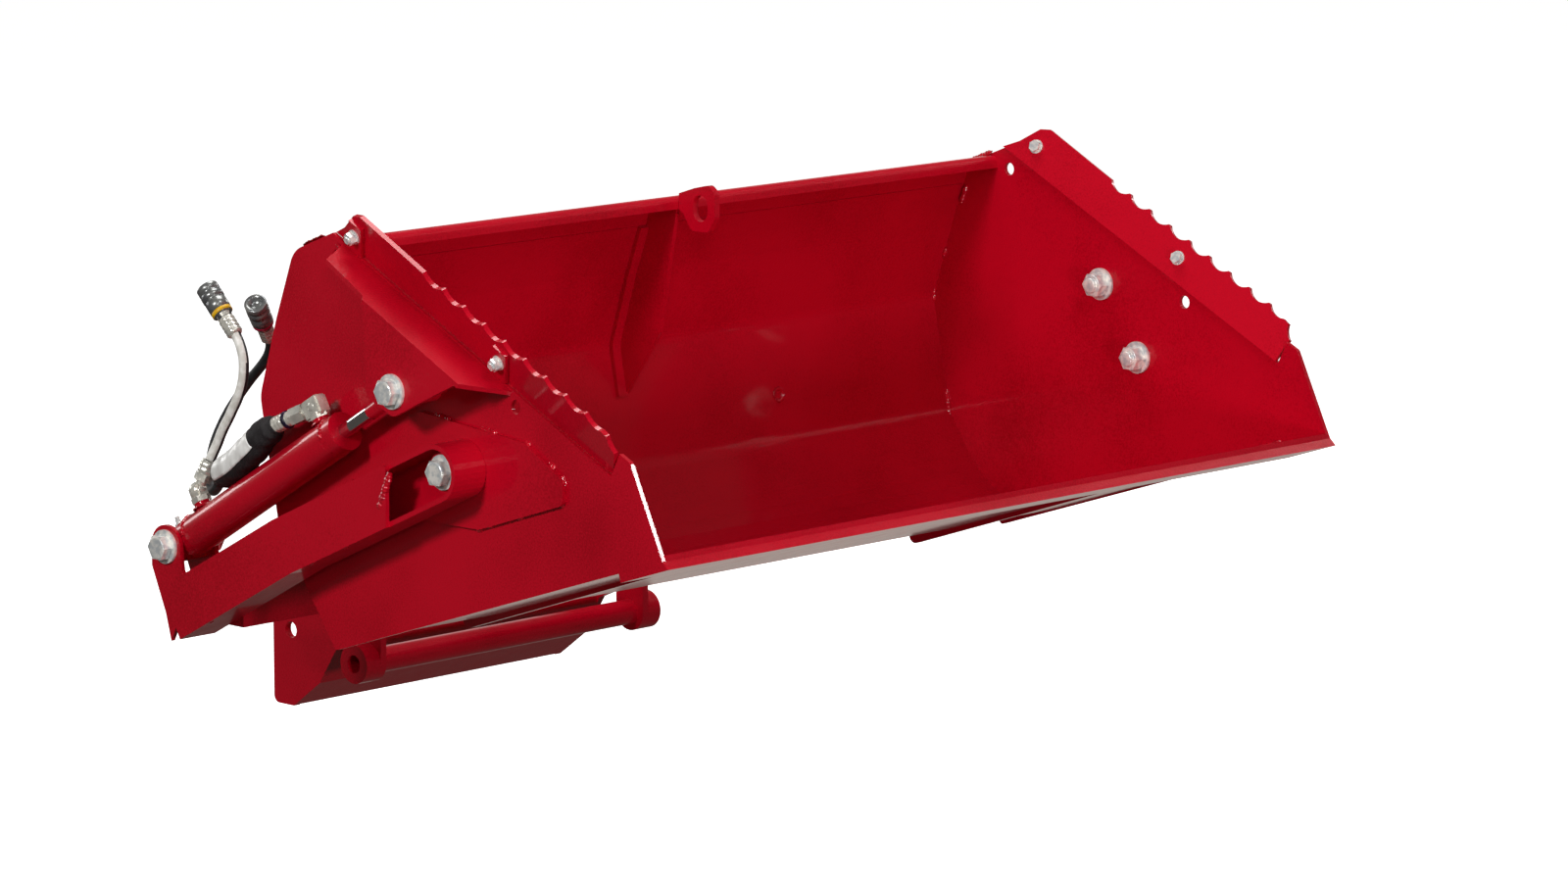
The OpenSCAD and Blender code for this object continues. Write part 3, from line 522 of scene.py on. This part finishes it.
def knee(name, centre, sizes, body):
    # A forged block with chamfered edges, square to the cylinder
    shape = bmesh.new()
    bmesh.ops.create_cube(shape, size=1)
    third = cylinder_way.cross(cylinder_up)
    for v in shape.verts:
        v.co = centre + (cylinder_way * v.co.x * sizes[0] + cylinder_up * v.co.y * sizes[1]
                         + third * v.co.z * sizes[2]) / 1000
    bmesh.ops.bevel(shape, geom=list(shape.edges), offset=KNEE_CHAMFER, segments=2, affect="EDGES")
    data = bpy.data.meshes.new(name)
    shape.to_mesh(data)
    shape.free()
    piece(name, data, (fitting,), body)


for side in (RIGHT, LEFT):
    body = "barrel_" + names[side]
    knee("rod_knee_" + names[side], on_cylinder(314, 46, 0, side), (31, 25, 19), body)
    knee("base_knee_" + names[side], on_cylinder(58, 44, 0, side), (19, 20, 17), body)

# Grease nipples
# On the base eyes, each with a collar, a neck and a ball tip.
nipple_turn = math.radians(85)
nipple_way = cylinder_way * math.cos(nipple_turn) + cylinder_up * math.sin(nipple_turn)
NIPPLE_SEAT = 0.0218
NIPPLE_PROFILE = [
    (0, 4.6), (0, 5.4), (3.5, 5.4), (4, 4.4), (6, 3.4), (9, 3.1), (10.2, 2.4), (11.4, 3.2), (13, 3.0), (14, 1.6),
]
for side in (RIGHT, LEFT):
    name = "nipple_" + names[side]
    seat = on_cylinder(0, 0, 0, side) + nipple_way * NIPPLE_SEAT
    made = piece(name, lathe(name, NIPPLE_PROFILE, seat, nipple_way, 24), (zinc,), "barrel_" + names[side])
    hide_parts("grease_nipple_" + names[side])

# Welds
# Stitches inside the bucket, round the doublers, brackets, arms and cylinders, and under the cutting edge.
BEAD_STEP = 0.0016
BEAD_ARC = 6
BEAD_SWELL = 1.2
BEAD_SINK = 0.3


def beads(name, body, runs):
    # Runs of weld: points, the direction they stand proud, width and height in millimetres
    points, faces = [], []
    ring = BEAD_ARC + 1
    for path, proud, width, height in runs:
        path = [Vector(p) for p in path]
        total = length_of(path)
        count = max(4, int(total / BEAD_STEP))
        line, walk, index = [], 0.0, 0
        for i in range(count + 1):
            goal = total * i / count
            while index < len(path) - 2 and walk + (path[index + 1] - path[index]).length < goal:
                walk += (path[index + 1] - path[index]).length
                index += 1
            step = path[index + 1] - path[index]
            line.append(path[index] + step * min(1, (goal - walk) / max(step.length, 1e-9)))
        first = len(points)
        proud = Vector(proud).normalized()
        for i, spot in enumerate(line):
            way = (line[min(i + 1, count)] - line[max(i - 1, 0)]).normalized()
            out = (proud - way * proud.dot(way)).normalized()
            side = way.cross(out)
            fade = min(1, 0.45 + 0.55 * min(i, count - i) / 2)
            ripple = 1 + 0.18 * math.sin(i * 2.1) + 0.1 * math.sin(i * 0.83 + spot.x * 90)
            swell = BEAD_SWELL * fade * ripple
            for k in range(ring):
                angle = math.pi * k / BEAD_ARC
                points.append(spot + side * (math.cos(angle) * width * swell / 2000)
                              + out * ((math.sin(angle) * height * swell - BEAD_SINK) / 1000))
        for i in range(count):
            for k in range(BEAD_ARC):
                a = first + i * ring + k
                faces.append((a, a + 1, a + 1 + ring, a + ring))
        end = first + count * ring
        faces += [tuple(range(first, first + ring)), tuple(range(end + BEAD_ARC, end - 1, -1))]
    return piece(name, filled(name, points, faces), (weld_paint,), body)


def weld(side, path, z, proud, width, height):
    # A run along points forward and up, all at one distance out from the inner face
    return [at_side(f, u, z, side) for f, u in path], proud, width, height


INSIDE_RUNS = [
    [(-309, 203), (-319, 179)], [(-347, 115), (-352, 100)], [(-369, 61), (-369.5, 38)],
    [(-345, -80), (-337, -122)], [(-180, -225), (-140, -212)], [(20, -160), (60, -147)],
    [(210, -98), (250, -85)],
]
DOUBLER_TACKS = [
    [(97, 43), (106, 38)], [(138, 22), (147, 15)], [(159, 9), (164, -2)], [(12, -74), (22, -70)],
    [(30, -67), (40, -63)], [(82, -51), (93, -46)], [(120, -36), (132, -31)], [(156, -27), (163, -24)],
    [(-91, -30), (-91, -10)], [(-91, 20), (-91, 38)], [(-60, 57), (-30, 53)], [(20, 50), (50, 46)],
]
ARM_TOP, ARM_LOW = [(-105, -10), (-255, -79), (-455, -182)], [(-118, -89), (-288, -166), (-440, -250)]
ARM_SHARES = (0.12, 0.3, 0.52, 0.74, 0.9)
BARREL_SEAMS, PORTS = (30, 329), (58, 316)
BARREL_R, PORT_R = 25, 12
for side in (RIGHT, LEFT):
    tag = names[side]
    runs = [weld(side, path, -0.5, (-side, -0.8, 0.6), 6, 3) for path in INSIDE_RUNS]
    runs += [weld(side, path, 6, (side, 0, 0), 7, 3.2) for path in DOUBLER_TACKS]
    runs += [
        weld(side, [(-300, 238), (-262, 253)], -1, (-side, 0, 1), 6, 3),
        weld(side, [(231, 27), (232, 42)], 1, (side, 0, 0), 7, 3),
        weld(side, [(-232, 247), (-205, 233)], 6, (side, 0, -1), 6, 3),
    ]
    beads("bucket_welds_" + tag, "bucket", runs)
    arm_runs = [
        weld(side, [(-73, -6), (-93, -54)], 67.5, (side, -0.5, 0), 7, 4),
        (ring_of(at_side(0, 0, 19, side), (1, 0, 0), 25.6), (side, 0, 0), 5, 3.5),
    ]
    for share in ARM_SHARES:
        for edge, lean in ((ARM_TOP, 0.5), (ARM_LOW, -0.5)):
            k = 0 if share < 0.5 else 1
            a, b = Vector(edge[k]), Vector(edge[k + 1])
            spot, step = a.lerp(b, share * 2 - k), (b - a).normalized() * 9
            arm_runs.append(weld(side, [tuple(spot - step), tuple(spot + step)], 63.5, (side, 0, lean), 5, 2.2))
    beads("arm_welds_" + tag, "arm_frame", arm_runs)
    cylinder_runs = []
    for along in BARREL_SEAMS:
        ring = ring_of(on_cylinder(along, 0, 0, side), cylinder_way, BARREL_R, 40)
        cylinder_runs.append((ring, cylinder_up, 4.5, 2.0))
    for along in PORTS:
        ring = ring_of(on_cylinder(along, BARREL_R - 0.5, 0, side), cylinder_up, PORT_R)
        cylinder_runs.append((ring, cylinder_up, 4, 2.2))
    beads("cylinder_welds_" + tag, "barrel_" + tag, cylinder_runs)

STITCH_Y, STITCH_Z = -0.989, 0.2525
stitches = []
for start in (-520, -330, -140, 60, 250, 430):
    stitch = [Vector((x / 1000, STITCH_Y, STITCH_Z)) for x in range(start, start + 90, 10)]
    stitches.append((stitch, (0, 0.4, -1), 8, 4))
beads("edge_stitches", "bucket", stitches)
GUSSET_FOOT = (
    [(-324, 187), (-332, 163)], [(-352, 96), (-359, 72)], [(-366, 45), (-362, 12)], [(-360, 0), (-356, -20)],
)
gusset_runs = [(across(path, -0.0172), (-1, -0.6, 0.2), 5, 3) for path in GUSSET_FOOT]
gusset_runs += [(across([(-258, 226), (-275, 219)], x), (-x, 0, -0.3), 5, 3) for x in (-0.0035, 0.0035)]
gusset_runs += [(across([(-250, 234), (-250, 251)], x), (x, -0.6, 0), 7, 4.5) for x in (-0.006, 0.006)]
beads("gusset_welds", "bucket", gusset_runs)
plug = ring_of(Vector((0.28, -0.3895, 0.298)), (0, -0.98, 0.2), 8)
beads("plug_weld", "bucket", [(plug, (0, -1, 0.2), 5, 1.8)])

# Carried-over nodes
# Every CAD node keeps its shape and gets its real finish, with a small edge radius where it is plate or hexagon.
EDGE_ANGLE = math.radians(38)
finishes = {
    "red_paint": (paint, 0.0011),
    "zinc_steel": (zinc, 0.0006),
    "plated_fitting": (fitting, 0.0005),
    "chrome_rod": (chrome, 0),
    "hose_rubber": (rubber, 0),
}
for part in frame["record"]["subparts"]:
    finish, edge = finishes[part["material_slot"]]
    made = frame["nodes"][part["node"]]
    made.data.materials.clear()
    made.data.materials.append(finish)
    if edge:
        soft = made.modifiers.new("edge_radius", "BEVEL")
        soft.width = edge
        soft.segments = 2
        soft.limit_method = "ANGLE"
        soft.angle_limit = EDGE_ANGLE

# Stage
# A pale floor that gives no light back onto the bucket, and dim surroundings.
FLOOR_Z = -0.30
floor = bpy.data.objects.new("floor", bpy.data.meshes.new("floor"))
scene.collection.objects.link(floor)
shape = bmesh.new()
bmesh.ops.create_grid(shape, x_segments=1, y_segments=1, size=40)
shape.to_mesh(floor.data)
shape.free()
floor.location.z = FLOOR_Z
pale = material("pale_floor", "#EDEDED", Roughness=0.9, Emission_Color="#FFFFFF", Emission_Strength=0.93)[0]
floor.data.materials.append(pale)
floor.visible_glossy = False
floor.visible_diffuse = False

scene.view_settings.view_transform = "Standard"
world = bpy.data.worlds.new("studio")
world.use_nodes = True
tree = world.node_tree
# A warm glow from low down behind the bucket, on its left, as pale ground throws light back
way = add(tree, "VectorMath", {"operation": "DOT_PRODUCT", 1: (0.70, 0.70, -0.14)},
          _0=add(tree, "TexCoord").outputs["Generated"])
glow = add(tree, "MapRange", {"From Min": 0.92, "From Max": 0.985, "To Min": 0.08, "To Max": 0.62},
           Value=way.outputs["Value"])
tree.nodes["Background"].inputs["Color"].default_value = linear("#FFF2E8")
tree.links.new(glow.outputs["Result"], tree.nodes["Background"].inputs["Strength"])
scene.world = world

# Lamps
# Soft squares: name, place, what it points at, size in metres and power in watts.
LAMPS = (
    ("key", (-1.2, -3.6, 3.6), (0, -0.6, 0.2), 1.2, 40),
    ("front", (-4.6, -5.4, 2.6), (-0.3, -0.6, 0.2), 1.0, 46),
    ("low", (-1.0, -4.2, 0.0), (0, -0.2, 0.0), 0.5, 44),
    ("side", (-4.2, -1.0, 2.1), (-0.5, -0.5, 0.2), 0.6, 96),
    ("left", (4.6, -0.8, 2.0), (0.5, -0.5, 0.2), 1.2, 48),
    ("top", (0.4, 0.2, 3.6), (0, -0.7, 0.2), 1.8, 78),
    ("rim", (4.0, 3.4, 1.6), (0, -0.5, 0.3), 3.0, 16),
    ("rear", (-1.0, 4.5, 1.2), (-0.4, -0.4, 0.2), 1.2, 25),
    ("edge", (3.2, -4.17, 2.77), (-0.5, -1.0, 0.3), 0.3, 12),
)
for name, at, toward, size, power in LAMPS:
    data = bpy.data.lights.new(name, "AREA")
    data.size = size
    data.energy = power
    made = bpy.data.objects.new(name, data)
    made.location = at
    made.rotation_euler = (Vector(toward) - Vector(at)).to_track_quat("-Z", "Y").to_euler()
    scene.collection.objects.link(made)
